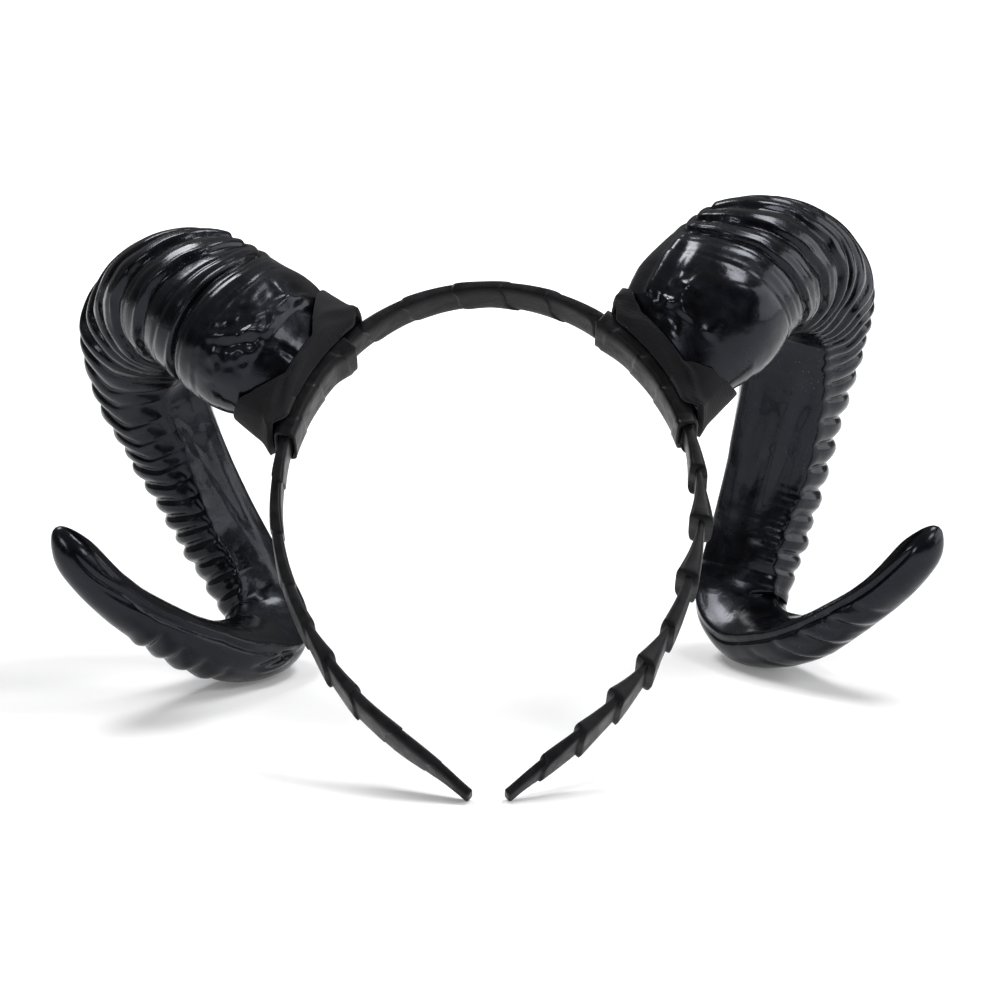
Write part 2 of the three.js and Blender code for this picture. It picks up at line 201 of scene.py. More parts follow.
def dippedLatex():
    material, tree = newMaterial("dippedLatex")
    place = addNode(tree, "TexCoord").outputs["Object"]
    pull = addNode(tree, "TexNoise", {"Vector": place, "Scale": 1 / (latex["pull"] * mm), "Detail": 5,
                                      "Roughness": 0.62, "Distortion": 0.6})
    peel = addNode(tree, "TexNoise", {"Vector": place, "Scale": 1 / (latex["peel"] * mm),
                                      "Detail": 3, "Roughness": 0.5})
    speck = addNode(tree, "TexVoronoi", {"Vector": place, "Scale": 1 / (latex["speck"] * mm), "Randomness": 1})
    # painted sheen: light blue-grey specks, a few at a time, gathered in patches
    patches = addNode(tree, "TexNoise", {"Vector": place, "Scale": 1 / (latex["patch"] * mm),
                                         "Detail": 4, "Roughness": 0.6})
    dotted = addNode(tree, "MapRange", {"Value": speck.outputs["Distance"], "From Min": 0.10, "From Max": 0.2,
                                        "To Min": 1, "To Max": 0}, clamp=True)
    gathered = addNode(tree, "MapRange", {"Value": patches.outputs["Fac"], "From Min": 0.57, "From Max": 0.72,
                                          "To Min": 0, "To Max": 0.75}, clamp=True)
    paintedSheenSpecks = addNode(tree, "Math", {0: dotted.outputs[0], 1: gathered.outputs[0]}, operation="MULTIPLY")
    haze = addNode(tree, "ValToRGB", {"Fac": pull.outputs["Fac"]})
    setRamp(haze, [(0.35, toLinear(latex["skin"])), (0.75, toLinear(latex["haze"]))])
    # sockets 6 and 7 are the two colours of the mix; the light specks mixed in are a painted sheen
    colour = addNode(tree, "Mix", {0: paintedSheenSpecks.outputs[0], 6: haze.outputs["Color"], 7: toLinear(latex["paintedSheen"])},
                     data_type="RGBA")
    rough = addNode(tree, "MapRange", {"Value": pull.outputs["Fac"], "From Min": 0.3, "From Max": 0.75,
                                       "To Min": latex["roughness"] - 0.07, "To Max": latex["roughness"] + 0.16})
    relief = addNode(tree, "Bump", {"Height": pull.outputs["Fac"], "Strength": 0.35, "Distance": 0.5 * mm})
    relief = addNode(tree, "Bump", {"Height": peel.outputs["Fac"], "Strength": 0.25, "Distance": 0.12 * mm,
                                    "Normal": relief.outputs["Normal"]})
    skin = addNode(tree, "BsdfPrincipled", {
        "Base Color": colour.outputs[2], "Roughness": rough.outputs[0], "IOR": latex["ior"],
        "Specular IOR Level": latex["specular"], "Specular Tint": toLinear(latex["tint"]),
        "Coat Weight": latex["coat"], "Coat Roughness": latex["coatRoughness"], "Coat IOR": latex["coatIor"],
        "Normal": relief.outputs["Normal"]})
    addNode(tree, "OutputMaterial", {"Surface": skin.outputs["BSDF"]})
    return material


# Polyester stretch jersey, knitted and dyed: matte charcoal with a soft nap that catches light at the edges.
jersey = {"yarn": "#0b0b0e", "worn": "#141418", "ior": 1.45, "roughness": 0.9, "specular": 0.3, "sheen": 0.04,
          "stitch": 0.7, "wear": 9}


def knittedJersey():
    material, tree = newMaterial("knittedJersey")
    place = addNode(tree, "TexCoord").outputs["Object"]
    # real stitches are 0.35 mm apart; drawn at twice that so that they show
    rib = addNode(tree, "TexWave", {"Vector": place, "Scale": 1 / (wavesPerUnit * jersey["stitch"] * mm),
                                    "Distortion": 1.5, "Detail": 2, "Detail Scale": 2}, wave_type="BANDS", bands_direction="DIAGONAL")
    nap = addNode(tree, "TexNoise", {"Vector": place, "Scale": 1 / (jersey["stitch"] * mm),
                                     "Detail": 3, "Roughness": 0.7})
    wear = addNode(tree, "TexNoise", {"Vector": place, "Scale": 1 / (jersey["wear"] * mm),
                                      "Detail": 3, "Roughness": 0.6})
    colour = addNode(tree, "ValToRGB", {"Fac": wear.outputs["Fac"]})
    setRamp(colour, [(0.4, toLinear(jersey["yarn"])), (0.75, toLinear(jersey["worn"]))])
    rough = addNode(tree, "MapRange", {"Value": wear.outputs["Fac"], "To Min": jersey["roughness"] - 0.1,
                                       "To Max": jersey["roughness"] + 0.1})
    relief = addNode(tree, "Bump", {"Height": rib.outputs["Fac"], "Strength": 0.3, "Distance": 0.15 * mm})
    relief = addNode(tree, "Bump", {"Height": nap.outputs["Fac"], "Strength": 0.5, "Distance": 0.2 * mm,
                                    "Normal": relief.outputs["Normal"]})
    cloth = addNode(tree, "BsdfPrincipled", {
        "Base Color": colour.outputs["Color"], "Roughness": rough.outputs[0], "IOR": jersey["ior"],
        "Specular IOR Level": jersey["specular"],
        "Sheen Weight": jersey["sheen"], "Sheen Roughness": 0.5, "Normal": relief.outputs["Normal"]})
    addNode(tree, "OutputMaterial", {"Surface": cloth.outputs["BSDF"]})
    return material


# Acetate satin ribbon, woven with a fine rib across it: black with a dull shine, greyer where it is creased.
satin = {"weft": "#060608", "crease": "#0e0e12", "ior": 1.48, "roughness": 0.38, "specular": 0.15, "sheen": 0.02,
         "rib": 0.5, "crumple": 4.5}


def wovenSatin():
    material, tree = newMaterial("wovenSatin")
    cloth = addNode(tree, "UVMap", uv_map="cloth").outputs["UV"]
    place = addNode(tree, "TexCoord").outputs["Object"]
    # cloth coordinates are in mm: x across the ribbon and y along it; real ribs are 0.25 mm apart, drawn at twice that
    rib = addNode(tree, "TexWave", {"Vector": cloth, "Scale": 1 / (satin["rib"] * wavesPerUnit),
                                    "Distortion": 0.6, "Detail": 1},
                  wave_type="BANDS", bands_direction="X")
    crumple = addNode(tree, "TexNoise", {"Vector": place, "Scale": 1 / (satin["crumple"] * mm), "Detail": 4,
                                         "Roughness": 0.6, "Distortion": 0.4})
    colour = addNode(tree, "ValToRGB", {"Fac": crumple.outputs["Fac"]})
    setRamp(colour, [(0.38, toLinear(satin["weft"])), (0.72, toLinear(satin["crease"]))])
    rough = addNode(tree, "MapRange", {"Value": crumple.outputs["Fac"], "From Min": 0.3, "From Max": 0.7,
                                       "To Min": satin["roughness"] - 0.08, "To Max": satin["roughness"] + 0.14})
    relief = addNode(tree, "Bump", {"Height": crumple.outputs["Fac"], "Strength": 0.5, "Distance": 0.35 * mm})
    relief = addNode(tree, "Bump", {"Height": rib.outputs["Fac"], "Strength": 0.25, "Distance": 0.06 * mm,
                                    "Normal": relief.outputs["Normal"]})
    ribbon = addNode(tree, "BsdfPrincipled", {
        "Base Color": colour.outputs["Color"], "Roughness": rough.outputs[0], "IOR": satin["ior"],
        "Specular IOR Level": satin["specular"],
        "Sheen Weight": satin["sheen"], "Sheen Roughness": 0.35, "Normal": relief.outputs["Normal"]})
    addNode(tree, "OutputMaterial", {"Surface": ribbon.outputs["BSDF"]})
    return material


latexSkin = dippedLatex()
cuffCloth = knittedJersey()
ribbonSatin = wovenSatin()
print("materials made")


# measured to the middle of the band
hoop = {"width": 111, "rise": 64.9, "drop": 84.5, "bandWide": 9.8, "bandThick": 3.2, "tipWide": 4.6, "tipThick": 2.2,
        "tipTaper": 24}
armRows = [  # shares of the drop and of half the width
    (0, 1), (0.14, 0.985), (0.28, 0.94), (0.42, 0.86), (0.56, 0.745), (0.69, 0.605), (0.82, 0.405), (0.94, 0.185),
    (1, 0.085)]


def makeHoopLine():
    half = hoop["width"] / 2
    arm = [(half * reach, 0, -hoop["drop"] * drop) for drop, reach in armRows]
    turns = [math.pi * (i / 14 - 0.5) for i in range(1, 14)]
    crown = [(half * math.sin(turn), 0, hoop["rise"] * math.cos(turn)) for turn in turns]
    return spline([(-x, y, z) for x, y, z in reversed(arm)] + crown + arm, np.linspace(0, 1, 4001))


hoopLine = makeHoopLine()
hoopLengths = lengthsAlong(hoopLine)
hoopLength = hoopLengths[-1]


def hoopAt(length):
    # point, direction along and direction away from the head, at lengths along the hoop
    length = np.asarray(length, float)
    spot = np.clip(length, 0.05, hoopLength - 0.05)
    read = lambda where: np.stack([np.interp(where, hoopLengths, hoopLine[:, axis]) for axis in range(3)], -1)
    along = read(spot + 0.05) - read(spot - 0.05)
    along /= np.linalg.norm(along, axis=-1)[..., None]
    return read(np.clip(length, 0, hoopLength)), along, np.cross(along, [0, 1, 0])


def stripSection(wide, thick, turn, soft=0.42):
    # a flat band with rounded edges, as offsets backward and away from the head
    across, away = np.cos(turn), np.sin(turn)
    across = np.sign(across) * np.abs(across) ** soft
    away = np.sign(away) * np.abs(away) ** soft
    return across * wide / 2, away * thick / 2


def layStrip(length, across, away):
    point, along, out = hoopAt(length)
    return point + across[..., None] * np.array([0, 1, 0]) + away[..., None] * out


# The ribbon is wound from the crown to both ends, each lap tucked into the one above it, so its lower edge
# stands out. Rows give how far from the hoop's end that edge lies, how far it stands out and how it slants, in mm.
winding = {"crownPitch": 13.4, "crownStep": 0.34, "crownSlant": 3.4, "columns": 64, "inner": 1.25, "outer": 0.9,
           "seed": 5}
leftLaps = [(12, 0.15, 2), (25, 0.25, 2), (38, 0.75, -2), (49.5, 0.95, -2), (61, 0.45, -1.5), (76, 0.3, 2),
            (92, 0.3, 2.5), (108, 0.25, 3)]
rightLaps = [(11, 0.9, 1.6), (23, 1.1, 1.5), (36, 1.6, 1.4), (48.3, 1.9, 1.2), (60.4, 0.8, 1.6), (75.9, 1.9, 1.2),
             (93.5, 2.2, 0.6), (108.4, 1.1, 1.4), (122, 0.5, 2.4)]
lapPlaces = (0, 0.02, 0.06, 0.13, 0.22, 0.34, 0.46, 0.58, 0.7, 0.8, 0.88, 0.94, 0.98)
lapShape = [(0, 0), (0.06, 0.02), (0.3, 0.2), (0.6, 0.55), (0.85, 0.88), (0.94, 1), (0.98, 0.97), (1, 0)]


def makeBand():
    cols = winding["columns"]
    luck = np.random.default_rng(winding["seed"])
    left = np.array([(0, 0.2, 0)] + leftLaps)
    right = np.array([(hoopLength - lap[0], lap[1], lap[2]) for lap in reversed(rightLaps)] + [(hoopLength, 0.2, 0)])
    count = int(round((right[0, 0] - left[-1, 0]) / winding["crownPitch"]))
    crown = np.linspace(left[-1, 0], right[0, 0], count + 1)[1:-1] + luck.uniform(-0.8, 0.8, count - 1)
    slants = winding["crownSlant"] * luck.uniform(0.8, 1.2, count - 1)
    laps = np.vstack([left, np.stack([crown, np.full(count - 1, winding["crownStep"]), slants], -1), right])
    places = np.arange(len(laps) - 1)[:, None] + np.array(lapPlaces)[None]
    places = np.r_[places.ravel(), len(laps) - 1][:, None]
    turn = (2 * np.pi * np.arange(cols) / cols)[None]
    numbers = np.arange(len(laps))
    middle = np.interp(places, numbers, laps[:, 0])
    slant = np.interp(places, numbers, laps[:, 2])
    toEnd = np.minimum(middle, hoopLength - middle)
    length = np.clip(middle + slant * np.cos(turn - 0.5) * ease(0, 8, toEnd), 0, hoopLength)
    # the edge that stands out faces the nearer end of the hoop
    toRight = middle > hoopLength / 2
    part = places - np.floor(places)
    rise = np.where(toRight, np.interp(part, *np.array(lapShape).T), np.interp(1 - part, *np.array(lapShape).T))
    edge = np.clip(np.where(toRight, np.floor(places) + 1, np.floor(places)).astype(int), 0, len(laps) - 1)
    full = ease(0, hoop["tipTaper"], toEnd)
    grow = laps[edge, 1] * (rise - 0.3) * mix(0.5, 1, full)
    # a lap is drawn tight on one side and gapes a little on the other
    gape = 1 + 0.35 * np.cos(turn - 2.1 * edge)
    wide = mix(hoop["tipWide"], hoop["bandWide"], full) + 1.3 * grow
    thick = mix(hoop["tipThick"], hoop["bandThick"], full)
    across, away = stripSection(wide, thick, turn)
    side = np.clip(away / (thick / 2), -1, 1)
    away = away + side * np.where(side < 0, winding["inner"], winding["outer"]) * grow * gape
    points = layStrip(length, across, away)
    rows = len(places)
    faces = gridFaces(rows, cols)
    points = np.vstack([points.reshape(-1, 3), points[0].mean(axis=0), points[-1].mean(axis=0)])
    faces += [(rows * cols, (j + 1) % cols, j) for j in range(cols)]
    faces += [(rows * cols + 1, (rows - 1) * cols + j, (rows - 1) * cols + (j + 1) % cols) for j in range(cols)]
    stretch = np.stack([np.broadcast_to(middle, length.shape), np.broadcast_to(turn * 4, length.shape)], -1)
    return points, faces, np.vstack([stretch.reshape(-1, 2), [(0, 0), (hoopLength, 0)]])


bandPoints, bandFaces, bandStretch = makeBand()
band = makePiece("woundBand", bandPoints, bandFaces, ribbonSatin, bandStretch)
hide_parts("band")
print("band wound:", len(band.data.polygons), "faces")


# Middle lines from the seat on the hoop: out, back and up, then width and thickness, as shares of these sizes.
horn = {"spread": 76, "depth": 96, "rise": 84, "wide": 41, "thick": 38, "baseWide": 0.84, "baseThick": 0.55,
        "baseLevel": 3.35, "cuffReach": 9, "tipFrom": 0.965}
leftRows = [
    (0.215, 0.005, 0.13, 1.1, 0.98), (0.325, 0.025, 0.225, 1.08, 1), (0.435, 0.055, 0.32, 1.05, 1.02),
    (0.545, 0.13, 0.405, 1, 0.99), (0.635, 0.245, 0.43, 0.94, 0.96), (0.685, 0.345, 0.43, 0.9, 0.9),
    (0.7, 0.445, 0.39, 0.83, 0.84), (0.675, 0.54, 0.315, 0.755, 0.77), (0.61, 0.635, 0.205, 0.67, 0.69),
    (0.53, 0.725, 0.085, 0.6, 0.63), (0.44, 0.81, -0.04, 0.575, 0.58), (0.345, 0.885, -0.17, 0.57, 0.54),
    (0.265, 0.92, -0.3, 0.57, 0.5), (0.255, 0.88, -0.425, 0.57, 0.48), (0.345, 0.79, -0.52, 0.55, 0.475),
    (0.47, 0.68, -0.56, 0.51, 0.44), (0.6, 0.56, -0.555, 0.45, 0.4), (0.735, 0.455, -0.525, 0.38, 0.37),
    (0.87, 0.35, -0.455, 0.31, 0.32), (0.955, 0.275, -0.375, 0.2, 0.2)]
rightRows = [
    (0.185, -0.02, 0.18, 1.1, 0.98), (0.275, -0.015, 0.295, 1.08, 1.02), (0.375, 0.015, 0.4, 1.04, 1.02),
    (0.5, 0.105, 0.48, 0.97, 0.99), (0.59, 0.21, 0.51, 0.92, 0.96), (0.63, 0.325, 0.5, 0.88, 0.9),
    (0.625, 0.435, 0.445, 0.84, 0.84), (0.605, 0.535, 0.37, 0.79, 0.77), (0.57, 0.635, 0.26, 0.735, 0.7),
    (0.535, 0.75, 0.135, 0.705, 0.64), (0.49, 0.85, 0, 0.685, 0.59), (0.435, 0.94, -0.145, 0.665, 0.55),
    (0.405, 0.975, -0.265, 0.65, 0.5), (0.445, 0.94, -0.39, 0.6, 0.46), (0.525, 0.84, -0.48, 0.53, 0.41),
    (0.62, 0.73, -0.525, 0.48, 0.37), (0.725, 0.625, -0.525, 0.42, 0.33), (0.86, 0.51, -0.49, 0.36, 0.29),
    (0.985, 0.39, -0.425, 0.3, 0.25), (1.05, 0.335, -0.36, 0.21, 0.18)]

# Where the grooves between the rings lie: each row is a groove's number and its place along the horn, as a
# share, at these turns round the section. 0 degrees is the outside of the curl and 90 the side away from the head.
grooveTurns = (-52, -30, 0, 30, 60, 90, 120, 150)
leftGrooves = [
    (0, 0.125, 0.083, 0.075, 0.073, 0.071, 0.070, 0.070, 0.070),
    (1, 0.150, 0.116, 0.105, 0.105, 0.104, 0.104, 0.108, 0.115),
    (2, 0.172, 0.136, 0.136, 0.142, 0.149, 0.154, 0.167, 0.200),
    (3, 0.188, 0.155, 0.160, 0.168, 0.180, 0.197, 0.217, 0.236),
    (4, 0.205, 0.172, 0.178, 0.187, 0.207, 0.231, 0.240, 0.245),
    (5, 0.225, 0.195, 0.200, 0.214, 0.238, 0.257, 0.254, 0.256),
    (6, 0.250, 0.225, 0.228, 0.240, 0.262, 0.279, 0.273, 0.276),
    (7, 0.275, 0.252, 0.254, 0.265, 0.284, 0.296, 0.297, 0.308),
    (8, 0.300, 0.278, 0.280, 0.289, 0.304, 0.314, 0.319, 0.335),
    (9, 0.325, 0.304, 0.305, 0.314, 0.329, 0.337, 0.343, 0.356),
    (10, 0.350, 0.332, 0.330, 0.340, 0.352, 0.358, 0.362, 0.383),
    (11, 0.373, 0.360, 0.357, 0.365, 0.375, 0.381, 0.386, 0.405),
    (12, 0.397, 0.386, 0.382, 0.390, 0.400, 0.404, 0.410, 0.425),
    (13, 0.420, 0.411, 0.408, 0.414, 0.420, 0.423, 0.430, 0.440),
    (14, 0.443, 0.436, 0.432, 0.438, 0.443, 0.446, 0.452, 0.460),
    (15, 0.466, 0.461, 0.458, 0.462, 0.466, 0.469, 0.473, 0.480),
    (16, 0.489, 0.485, 0.482, 0.486, 0.488, 0.490, 0.494, 0.500),
    (17, 0.510, 0.508, 0.506, 0.508, 0.510, 0.511, 0.513, 0.516),
    (18, 0.530, 0.529, 0.527, 0.529, 0.529, 0.529, 0.531, 0.533),
    (19, 0.551, 0.550, 0.549, 0.550, 0.550, 0.550, 0.552, 0.554),
    (20, 0.574, 0.574, 0.573, 0.574, 0.574, 0.574, 0.576, 0.578),
    (21, 0.598, 0.598, 0.597, 0.598, 0.598, 0.598, 0.599, 0.600),
    (22, 0.620, 0.620, 0.619, 0.620, 0.620, 0.620, 0.621, 0.622)]
rightGrooves = [
    (0, 0.120, 0.086, 0.088, 0.094, 0.097, 0.100, 0.110, 0.130),
    (1, 0.142, 0.109, 0.113, 0.123, 0.130, 0.138, 0.162, 0.188),
    (2, 0.158, 0.126, 0.132, 0.143, 0.156, 0.180, 0.202, 0.216),
    (3, 0.172, 0.143, 0.151, 0.171, 0.194, 0.212, 0.220, 0.230),
    (4, 0.190, 0.162, 0.170, 0.190, 0.218, 0.231, 0.234, 0.246),
    (5, 0.212, 0.184, 0.190, 0.211, 0.237, 0.246, 0.247, 0.261),
    (6, 0.236, 0.210, 0.215, 0.235, 0.259, 0.268, 0.261, 0.275),
    (7, 0.260, 0.236, 0.240, 0.257, 0.277, 0.284, 0.276, 0.290),
    (8, 0.284, 0.262, 0.265, 0.280, 0.294, 0.298, 0.291, 0.305),
    (9, 0.308, 0.288, 0.290, 0.300, 0.310, 0.313, 0.307, 0.320),
    (10, 0.331, 0.314, 0.315, 0.321, 0.328, 0.330, 0.325, 0.335),
    (11, 0.352, 0.340, 0.340, 0.344, 0.347, 0.348, 0.345, 0.352),
    (12, 0.374, 0.366, 0.366, 0.368, 0.370, 0.370, 0.368, 0.374),
    (13, 0.398, 0.392, 0.392, 0.394, 0.395, 0.395, 0.394, 0.398),
    (14, 0.424, 0.420, 0.420, 0.421, 0.422, 0.422, 0.422, 0.425),
    (15, 0.451, 0.449, 0.449, 0.450, 0.450, 0.450, 0.450, 0.452),
    (16, 0.479, 0.477, 0.477, 0.478, 0.478, 0.478, 0.478, 0.480),
    (17, 0.508, 0.507, 0.507, 0.507, 0.507, 0.507, 0.507, 0.508),
    (18, 0.535, 0.535, 0.535, 0.535, 0.535, 0.535, 0.535, 0.536),
    (19, 0.557, 0.557, 0.557, 0.557, 0.557, 0.557, 0.557, 0.558),
    (20, 0.580, 0.580, 0.580, 0.580, 0.580, 0.580, 0.580, 0.580),
    (21, 0.602, 0.602, 0.602, 0.602, 0.602, 0.602, 0.602, 0.602),
    (22, 0.626, 0.626, 0.626, 0.626, 0.626, 0.626, 0.626, 0.626)]

# The smooth inner face lies between two ridges: each row is a place along the horn and the ridge's turn.
leftRidge = [(0.2, 212), (0.33, 210), (0.375, 200), (0.42, 195), (0.445, 185), (0.475, 175), (0.5, 165), (0.535, 155),
             (0.585, 152), (0.615, 135), (0.66, 140), (0.8, 150)]
rightRidge = [(0.2, 150), (0.22, 140), (0.25, 150), (0.3, 165), (0.325, 171), (0.35, 169), (0.4, 160), (0.445, 150),
              (0.5, 146), (0.55, 147), (0.6, 142), (0.63, 132), (0.675, 145), (0.8, 150)]
leftFarRidge = [(0.2, 262), (0.45, 255), (0.6, 252), (0.686, 266), (0.72, 252), (0.79, 252), (0.836, 272), (0.864, 282),
                (0.906, 286), (0.939, 306), (0.97, 315)]
rightFarRidge = [(0.2, 262), (0.45, 255), (0.6, 252), (0.66, 256), (0.7, 255), (0.757, 249), (0.81, 254), (0.87, 267),
                 (0.913, 283), (0.942, 289), (0.975, 297)]

# Creases, dents and soft ribs: from a share and a turn to a share and a turn, then width and height in mm.
leftCreases = [
    (-0.01, 2, 0.035, 14, 1.2, 1.3), (0.035, 14, 0.068, 46, 1.2, 1.0), (-0.01, 10, 0.036, 20, 1.1, -1.0),
    (0.036, 20, 0.066, 54, 1.1, -0.9), (0.02, -38, 0.03, -18, 1.2, -1.4), (0.034, -34, 0.05, 2, 1.4, 0.9),
    (0.0, -12, 0.07, -16, 1.6, 0.8), (0.012, -60, 0.06, -66, 1.8, 0.8), (0.03, 62, 0.07, 78, 2.4, 0.5),
    (0.84, 60, 0.85, -42, 1.0, -1.3), (0.853, 60, 0.863, -42, 2.4, 0.9), (0.812, 60, 0.822, -38, 1.0, -1.2),
    (0.825, 60, 0.834, -38, 2.2, 0.8), (0.785, 60, 0.795, -40, 1.0, -1.1), (0.797, 60, 0.806, -40, 2.2, 0.8),
    (0.757, 50, 0.767, -45, 1.1, -0.9), (0.769, 50, 0.779, -45, 2.2, 0.7), (0.692, -92, 0.74, -62, 1.2, -1.1),
    (0.7, -78, 0.73, -56, 1.1, 0.9), (0.88, -60, 0.935, -30, 1.0, -0.5), (0.38, 218, 0.58, 205, 2.6, -0.7),
    (0.45, 190, 0.62, 185, 2.2, -0.5)]
rightCreases = [
    (0.0, -31, 0.08, -30, 2.0, 1.4), (0.08, -30, 0.135, -24, 2.0, 1.0), (0.005, -20, 0.09, -18, 2.0, -1.0),
    (0.03, -10, 0.07, 4, 1.4, 0.9), (0.01, 10, 0.055, -14, 1.3, -0.9), (-0.01, 22, 0.05, 30, 1.4, 0.9),
    (0.07, 10, 0.09, 50, 2.4, 0.9), (0.85, -80, 0.872, 14, 1.1, -1.2), (0.863, -80, 0.885, 14, 2.2, 0.8),
    (0.815, -85, 0.838, 14, 1.2, -1.3), (0.829, -85, 0.851, 14, 2.2, 0.8), (0.784, -80, 0.806, 14, 1.1, -1.1),
    (0.797, -80, 0.819, 14, 2.2, 0.7), (0.882, -68, 0.896, 14, 1.0, -0.8), (0.75, -75, 0.775, 10, 1.4, -0.7),
    (0.835, -70, 0.852, -25, 1.0, -0.6), (0.8, -70, 0.82, -30, 1.0, -0.6),
    (0.37, 184, 0.57, 176, 2.8, -0.8), (0.38, 214, 0.62, 204, 3.2, -0.8), (0.4, 172, 0.402, 204, 1.8, 0.25),
    (0.47, 196, 0.55, 192, 2.4, 0.5)]
# Patches of crinkled skin: middle share and turn, how far they spread in both, and height in mm.
leftCrinkles = [(0.034, 20, 0.03, 26, 2.9), (0.058, 44, 0.02, 18, 2.2), (0.03, -25, 0.022, 16, 1.3),
                (0.04, 90, 0.03, 50, 0.3)]
rightCrinkles = [(0.022, -6, 0.026, 22, 3.0), (0.05, -8, 0.018, 14, 2.0), (0.015, 28, 0.018, 20, 1.6),
                 (0.04, 90, 0.03, 50, 0.3)]

# How the skin stands out, in mm.
skin = {"bulgeRings": 2.2, "flankRings": 2.6, "outerRings": 1.6, "ridge": 0.8, "flatten": 0.5,
        "tipFlatten": 0.4, "furrow": 0.8, "dimple": 0.35, "rows": 600, "columns": 160}
# how closely the rows and columns of a horn's mesh lie, at places along it and round it
rowDensity = [(0, 0.8), (0.03, 1.1), (0.05, 1.5), (0.3, 1.3), (0.62, 1.2), (0.7, 0.8), (0.9, 0.8), (1, 1.6)]
columnDensity = [(0, 1.4), (0.45, 1.4), (0.5, 0.6), (0.7, 0.6), (0.76, 1.4), (1, 1.4)]


def makeHornLine(side, seatTurn, curlBack, curlUp, rows):
    seatTurn = math.radians(seatTurn)
    wanted = np.array([side * hoop["width"] * math.sin(seatTurn) / 2, 0, hoop["rise"] * math.cos(seatTurn)])
    seatLength = hoopLengths[np.argmin(np.linalg.norm(hoopLine - wanted, axis=1))]
    seat, along, out = hoopAt(seatLength)
    reach = np.array([[side * row[0] * horn["spread"], row[1] * horn["depth"], row[2] * horn["rise"]] for row in rows])
    points = np.vstack([seat + out * horn["baseLevel"], seat + reach])
    sizes = np.array([(horn["baseWide"], horn["baseThick"])] + [row[3:] for row in rows])
    places = np.linspace(0, 1, 6001)
    lengths = lengthsAlong(spline(points, places))
    curl = seat + np.array([0, curlBack * horn["depth"], curlUp * horn["rise"]])
    return {"side": side, "seat": seat, "seatOut": out, "seatLength": seatLength, "points": points, "sizes": sizes,
            "places": places, "lengths": lengths, "curl": curl, "mouth": horn["cuffReach"] / lengths[-1]}


def hornFrames(line, share):
    share = np.atleast_1d(np.asarray(share, float))
    place = np.interp(share * line["lengths"][-1], line["lengths"], line["places"])
    point = spline(line["points"], place)
    along = spline(line["points"], np.clip(place + 1e-4, 0, 1)) - spline(line["points"], np.clip(place - 1e-4, 0, 1))
    along /= np.linalg.norm(along, axis=1)[:, None]
    squared = 1 - ease(0, line["mouth"], share)[:, None]
    along = mix(along, line["seatOut"], squared)
    along /= np.linalg.norm(along, axis=1)[:, None]
    outer = point - line["curl"]
    outer[:, 0] = 0
    outer -= along * np.sum(outer * along, axis=1)[:, None]
    outer /= np.linalg.norm(outer, axis=1)[:, None]
    flank = np.cross(along, outer) * line["side"]
    size = spline(line["sizes"], place, centripetal=False)
    over = np.clip((share - horn["tipFrom"]) / (1 - horn["tipFrom"]), 0, 1)
    closing = np.sqrt(np.maximum(0, 1 - over ** 2.4)) * mix(1, 0.96, over)
    return point, outer, flank, size[:, 0] * horn["wide"] * closing, size[:, 1] * horn["thick"] * closing


def hornPoints(line, share, turn, grow):
    # turn may be one list for all the shares or one row for each; grow stands out from the oval section
    point, outer, flank, wide, thick = hornFrames(line, share)
    turn = np.broadcast_to(turn, (len(point), np.shape(turn)[-1]))
    grow = np.broadcast_to(grow, turn.shape)
    reach = np.cos(turn) * (thick[:, None] / 2 + grow)
    stand = np.sin(turn) * (wide[:, None] / 2 + grow)
    return point[:, None] + outer[:, None] * reach[..., None] + flank[:, None] * stand[..., None]


def apart(degrees, other):
    # how far one turn is from another, the short way round
    return (degrees - other + 180) % 360 - 180


def ringPhase(grooves, share, degrees):
    # the number of the ring at each place, whole numbers in the grooves
    table = np.array(grooves)
    numbers = table[:, 0]
    step = table[-1, 1:] - table[-2, 1:]
    columns = []
    for k in range(len(grooveTurns)):
        shares = np.r_[table[0, 1 + k] - 0.02, table[:, 1 + k], table[-1, 1 + k] + step[k] * 4]
        columns.append(np.interp(share, shares, np.r_[numbers[0] - 1, numbers, numbers[-1] + 4]))
    columns = np.array(columns)
    side = apart(degrees, 60)
    spot = np.interp(side, [turn - 60 for turn in grooveTurns], np.arange(len(grooveTurns)))
    low = np.minimum(spot.astype(int), len(grooveTurns) - 2)
    part = ease(0, 1, spot - low) * 0.4 + (spot - low) * 0.6
    rows = np.arange(len(share))[:, None]
    return mix(columns[low, rows], columns[low + 1, rows], part)


def creaseRelief(line, creases, share, degrees, wide, thick):
    total = np.zeros(np.broadcast_shapes(share.shape, degrees.shape))
    length = line["lengths"][-1]
    around = np.radians(1) * (wide + thick) / 4
    for fromShare, fromTurn, toShare, toTurn, width, height in creases:
        x = (share - fromShare) * length
        y = apart(degrees, fromTurn) * around
        dx, dy = (toShare - fromShare) * length, (toTurn - fromTurn) * around
        part = np.clip((x * dx + y * dy) / (dx * dx + dy * dy), 0, 1)
        gap = np.hypot(x - part * dx, y - part * dy)
        taper = 0.35 + 0.65 * np.sin(np.pi * np.clip(part, 0.03, 0.97))
        total += height * taper * np.exp(-(gap / width) ** 2 * 1.6)
    return total


